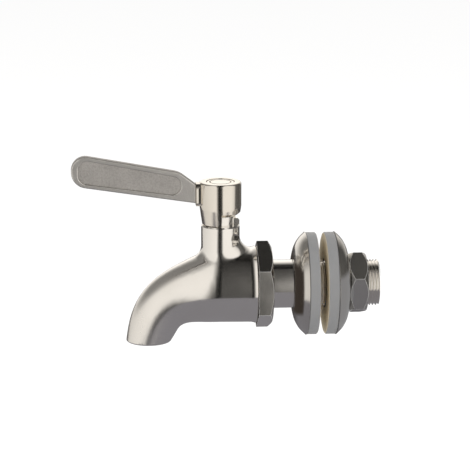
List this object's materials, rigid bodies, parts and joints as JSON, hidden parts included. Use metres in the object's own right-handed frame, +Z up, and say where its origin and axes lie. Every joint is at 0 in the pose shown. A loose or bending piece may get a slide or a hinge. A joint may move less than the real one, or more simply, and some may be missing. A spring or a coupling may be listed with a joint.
{
  "type": "beverage dispenser spigot",
  "caption": "Quarter-turn stainless spigot for a drinks dispenser: curved spout, paddle lever on a round cap, and a threaded shank with cup washers, silicone washers and a lock nut",
  "frame": {"origin": "on the shank's axis, in the face that the front silicone washer presses on the container's outer wall", "axes": "+X along the shank into the container, +Z up along the valve stem, +Y to the left of a person who stands inside looking out along -X"},
  "size_m": [0.1, 0.0336, 0.0616],
  "materials": {
    "polished_steel": "mirror-polished stainless steel",
    "cast_steel": "satin blasted casting",
    "pressed_steel": "brushed pressed sheet",
    "turned_steel": "turned and lightly polished",
    "silicone": "translucent pale grey silicone",
    "seat_plastic": "white seat plastic",
    "ring_rubber": "black ring rubber"
  },
  "bodies": {
    "valve": {"valve_body": "polished_steel", "tail_shank": "polished_steel", "body_seal": "seat_plastic", "front_seat": "seat_plastic", "rear_seat": "seat_plastic", "stem_lock_screw": "polished_steel", "glide_washer": "seat_plastic", "front_cup_washer": "pressed_steel", "front_silicone_washer": "silicone"},
    "handle": {"handle_hub": "polished_steel", "lever": "cast_steel", "hub_button": "polished_steel", "handle_screw": "polished_steel", "spring_washer": "polished_steel", "stem": "polished_steel", "ball": "polished_steel", "lower_stem_ring": "ring_rubber", "upper_stem_ring": "ring_rubber"},
    "rear_clamp": {"rear_cup_washer": "pressed_steel", "rear_silicone_washer": "silicone"},
    "nut": {"lock_nut": "turned_steel"}
  },
  "joints": [
    {"name": "handle_turn", "type": "hinge", "parent": "valve", "child": "handle", "pos_m": [-0.0313, 0, 0], "axis": [0, 0, 1], "range_deg": [0, 90]},
    {"name": "clamp_slide", "type": "slide", "parent": "valve", "child": "rear_clamp", "axis": [1, 0, 0], "range_m": [-0.0024, 0.0045]},
    {"name": "nut_turn", "type": "hinge", "parent": "rear_clamp", "child": "nut", "pos_m": [0.013, 0, 0], "axis": [1, 0, 0], "range_deg": [-864.5, 1620.5]}
  ],
  "couplings": [
    {"joint": "nut_turn", "follows": "clamp_slide", "rad_per_m": 6283.2}
  ]
}
